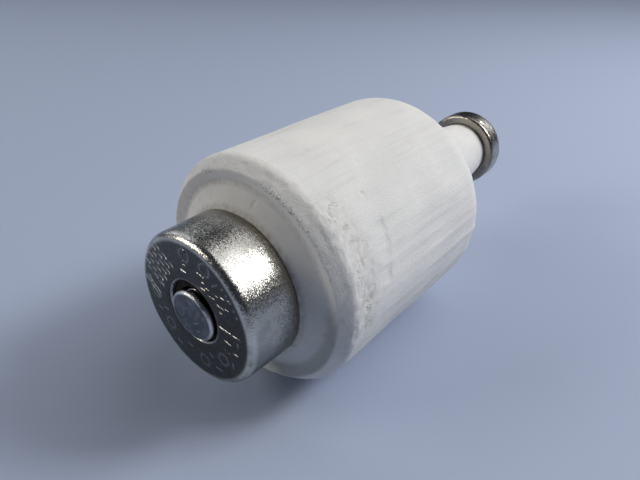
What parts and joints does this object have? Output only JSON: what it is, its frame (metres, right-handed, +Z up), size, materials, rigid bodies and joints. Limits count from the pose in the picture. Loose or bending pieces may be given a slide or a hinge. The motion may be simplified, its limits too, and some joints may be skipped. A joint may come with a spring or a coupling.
{
  "type": "cartridge fuse",
  "caption": "Bottle-shaped cartridge fuse: a white porcelain barrel with a narrow neck, nickel-plated end caps and a sprung blown-fuse indicator disc.",
  "frame": {"origin": "centre of the foot contact's end face, on the fuse's long axis", "axes": "+Y along the long axis from the head cap to the foot contact, +Z up with the fuse lying on its barrel, +X to the right seen from the head"},
  "size_m": [0.0226, 0.0492, 0.0226],
  "materials": {
    "porcelain": "matte",
    "nickel_plate": "satin",
    "indicator_metal": "satin",
    "contact_brass": "satin",
    "strip_copper": "satin",
    "solder": "satin",
    "fibre": "matte",
    "sand": "matte",
    "spring_steel": "satin"
  },
  "bodies": {
    "fuse": {"porcelain_body": "porcelain", "head_cap": "nickel_plate", "foot_cap": "nickel_plate", "head_contact_plate": "contact_brass", "foot_contact_plate": "contact_brass", "head_sealing_washer": "fibre", "foot_sealing_washer": "fibre", "fuse_strip_left": "strip_copper", "fuse_strip_right": "strip_copper", "overload_solder_beads": "solder", "head_solder_joints": "solder", "foot_solder_joint": "solder", "quartz_sand": "sand", "indicator_spring": "spring_steel", "indicator_cup": "contact_brass", "indicator_wire": "spring_steel"},
    "indicator": {"indicator_disc": "indicator_metal", "indicator_solder_dot": "solder"}
  },
  "joints": [
    {"name": "indicator_pop", "type": "slide", "parent": "fuse", "child": "indicator", "axis": [0, -1, 0], "range_m": [0, 0.002], "deforming": ["indicator_spring"]}
  ]
}
